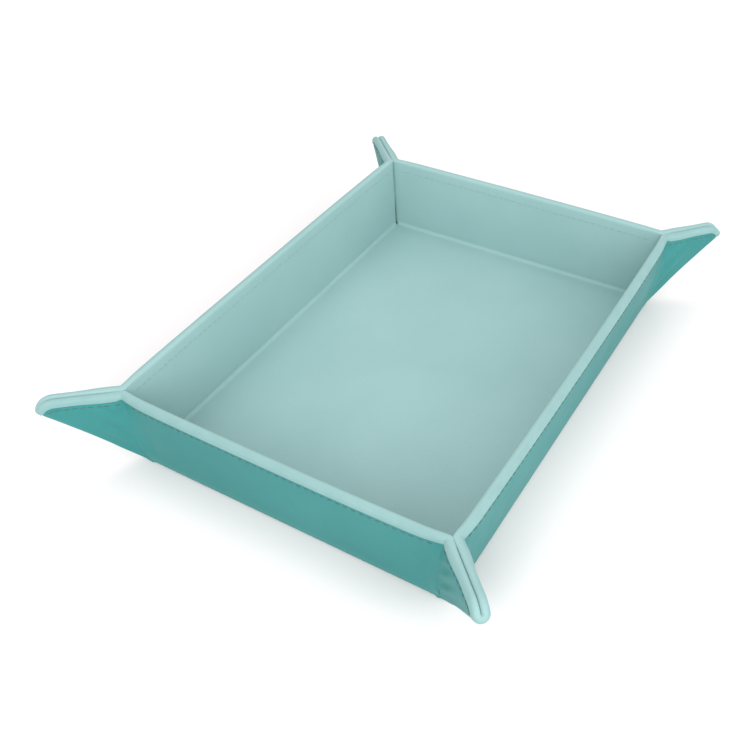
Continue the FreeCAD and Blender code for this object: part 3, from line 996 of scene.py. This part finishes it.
def make_flap(wall, side):
    end = end_of(wall, side)
    panel = flap_panel(wall, side)
    flap = f"{wall}_{end}_flap"
    phase = list(WALLS).index(wall) + 0.5 * side
    for kind, lining, thick, sign, material in SHEETS:
        grid, wear_and_shade = flap_grid(panel, lining, phase)
        outward = outward_at(grid, sign * panel.inward(), 8)
        piece = shell(f"{kind}_{wall}_{end}", grid, thick, outward, material, wear_and_shade)
        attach(piece, flap)
        finish_piece(piece, kind, f"{kind}_{flap}")
    make_insert(wall, side, panel)
    stitches = flap_stitches(f"stitches_{wall}_{end}", panel, phase)
    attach(stitches, flap)
    finish_piece(stitches, "thread", f"thread_{flap}")


def make_ear(wall, side):
    """The fold between the flap of a long wall and the flap beside it."""
    end = end_of(wall, side)
    panel = flap_panel(wall, side)
    _, _, inside, across = ear_frame(panel)
    # The ear's middle plane, as it is after the pull on its tip.
    upward = panel.along(math.cos(FLARE_ANGLE), math.sin(FLARE_ANGLE))
    away = panel.along(-math.sin(FLARE_ANGLE), math.cos(FLARE_ANGLE)) + panel.pull / TIP_DISTANCE
    apart = np.cross(upward, away)
    apart = apart / (np.linalg.norm(apart) * math.copysign(1, float(apart @ across)))
    # A tip pulled off the ridge would stand up when the ear opens.
    for kind, lining, thick, sign, material in SHEETS[::-1]:
        grid, wear_and_shade = ear_grid(panel, not lining)
        outward = outward_at(grid, sign * inside, 8)
        piece = shell(f"{kind}_ear_{wall}_{end}", grid, thick, outward, material, wear_and_shade)
        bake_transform(piece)
        finish_piece(piece, kind)


def ring_solid(name, rings, material):
    """A closed solid from rings of points, each ring round the last; the first and last are capped."""
    count = len(rings[0])
    faces = ring_faces(len(rings), count)
    faces.append(tuple(range(count))[::-1])
    faces.append(tuple((len(rings) - 1) * count + place for place in range(count)))
    return new_piece(name, np.concatenate(rings), faces, material)


def insert_outline():
    """Outline of the card inside a flap, in its rise and reach, round the magnet's centre."""
    edge, normals, lengths = corner_outline(60)
    along_edge = (edge - CARD_INSET * normals)[lengths > CARD_FROM_CREASE]
    ridge_shift = CARD_FROM_RIDGE / math.sqrt(2)
    limit = along_edge[:, 1] < along_edge[:, 0] + SETBACK - 2 * ridge_shift
    along_edge = along_edge[limit]
    low = CARD_HEEL
    start = np.array([low, low * FLARE + CARD_FROM_CREASE])
    middle = along_edge[-1].sum() / 2
    ridge_top = np.array([middle - SETBACK / 2 + ridge_shift, middle + SETBACK / 2 - ridge_shift])
    ridge_low = np.array([low, low + SETBACK - 2 * ridge_shift])
    corners = [start, *along_edge, ridge_top, ridge_low]
    outline = []
    for a, b in zip(corners, corners[1:] + corners[:1]):
        steps = max(int(np.linalg.norm(b - a) / (1.2 * MM)), 1)
        outline.extend(a + (b - a) * step / steps for step in range(steps))
    return np.array(outline)


def make_insert(wall, side, panel):
    """The card in a flap, with a round hole, and the magnet in the hole."""
    flap = f"{wall}_{end_of(wall, side)}_flap"
    outline = insert_outline()
    middle = np.array([MAGNET_RISE, MAGNET_REACH])
    spokes = outline - middle
    angles = np.arctan2(spokes[:, 1], spokes[:, 0])
    hole = middle + (MAGNET_RADIUS + HOLE_GAP) * np.stack([np.cos(angles), np.sin(angles)], axis=-1)

    def low(place):
        return flap_cover_level(edge_inset(*place.T), *place.T, 0) + COVER_THICK + BULGE + WRINKLE

    def high(place):
        under_lining = flap_lining_level(*place.T) - LINING_THICK - EAR_GAP
        return np.maximum(low(place) + CARD_LEAST, under_lining)

    between = [hole + (outline - hole) * share for share in np.linspace(0, 1, 7)]
    rings = [panel.place(*place.T, low(place)) for place in between]
    rings += [panel.place(*place.T, high(place)) for place in between[::-1]]
    faces = ring_faces(len(rings), len(outline), closed=True)
    card = new_piece(f"card_{flap}", np.concatenate(rings), faces, CARD)
    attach(card, flap)
    finish_piece(card, "stiffener", f"stiffener_{flap}")
    turns = np.linspace(0, 2 * math.pi, 49)[:-1]
    profile = [(0.86, -1.0), (0.96, -0.93), (1.0, -0.75), (1.0, 0.75), (0.96, 0.93), (0.86, 1.0)]
    discs = []
    for radius, height in profile:
        rise = MAGNET_RISE + MAGNET_RADIUS * radius * np.cos(turns)
        reach = MAGNET_REACH + MAGNET_RADIUS * radius * np.sin(turns)
        discs.append(panel.place(rise, reach, height * MAGNET_HALF + MAGNET_DEPTH))
    magnet = ring_solid(f"disc_{flap}", discs, NICKEL)
    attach(magnet, flap)
    finish_piece(magnet, "magnet", f"magnet_{flap}")


def dress_cad_nodes():
    """The boards stay as the design has them, in their own material."""
    for name, node in frame["nodes"].items():
        if name.startswith("board"):
            node.data.materials.clear()
            node.data.materials.append(BOARD)


# ---- stage, light and camera
def make_stage():
    mesh = bpy.data.meshes.new("studio_floor")
    reach = 4.0
    mesh.from_pydata([(-reach, -reach, 0), (reach, -reach, 0), (reach, reach, 0), (-reach, reach, 0)], [],
                     [(0, 1, 2, 3)])
    floor = bpy.data.objects.new("studio_floor", mesh)
    floor.location.z = -0.05 * MM
    SCENE.collection.objects.link(floor)
    material, tree, shader, place = node_material("studio_paper")
    clouds = noise(tree, place, 3, 2)
    colour = ramp(tree, clouds, [(0.4, (0.785, 0.760, 0.760)), (0.6, (0.800, 0.775, 0.775))])
    wire(tree, shader, {"Base Color": colour, "Roughness": 0.9, "Specular IOR Level": 0.1})
    mesh.materials.append(material)


def aim(thing, target):
    direction = Vector(target) - thing.location
    thing.rotation_euler = direction.to_track_quat("-Z", "Y").to_euler()


def add_light(name, place, size, power):
    lamp = bpy.data.lights.new(name, "AREA")
    lamp.shape = "DISK"
    lamp.size = size
    lamp.energy = power
    holder = bpy.data.objects.new(name, lamp)
    holder.location = place
    SCENE.collection.objects.link(holder)
    aim(holder, (0, 0, 0))


def make_light():
    world = bpy.data.worlds.new("studio")
    world.use_nodes = True
    wire(world.node_tree, world.node_tree.nodes["Background"], {"Color": (1, 1, 1, 1), "Strength": 1.02})
    SCENE.world = world
    add_light("key", (-0.42, 0.22, 1.20), 0.8, 3.0)
    add_light("front", (0.25, -0.95, 0.62), 0.7, 6.4)
    add_light("fill", (1.00, -0.25, 0.40), 0.9, 6.4)
    SCENE.view_settings.view_transform = "Standard"


def make_camera():
    data = bpy.data.cameras.new("view")
    data.lens = 46.52
    data.sensor_width = 36
    data.clip_start = 0.01
    camera = bpy.data.objects.new("view", data)
    camera.location = (0.1655, -0.2909, 0.2917)
    SCENE.collection.objects.link(camera)
    aim(camera, (-0.0157, -0.0104, 0.0))
    camera.rotation_euler.rotate_axis("Z", math.radians(-2.18))
    SCENE.camera = camera


make_camera()
make_stage()
make_light()
make_base()
for wall_name in WALLS:
    make_wall(wall_name)
    for hand in (-1, 1):
        make_flap(wall_name, hand)
for wall_name in ("left", "right"):
    for hand in (-1, 1):
        make_ear(wall_name, hand)
dress_cad_nodes()
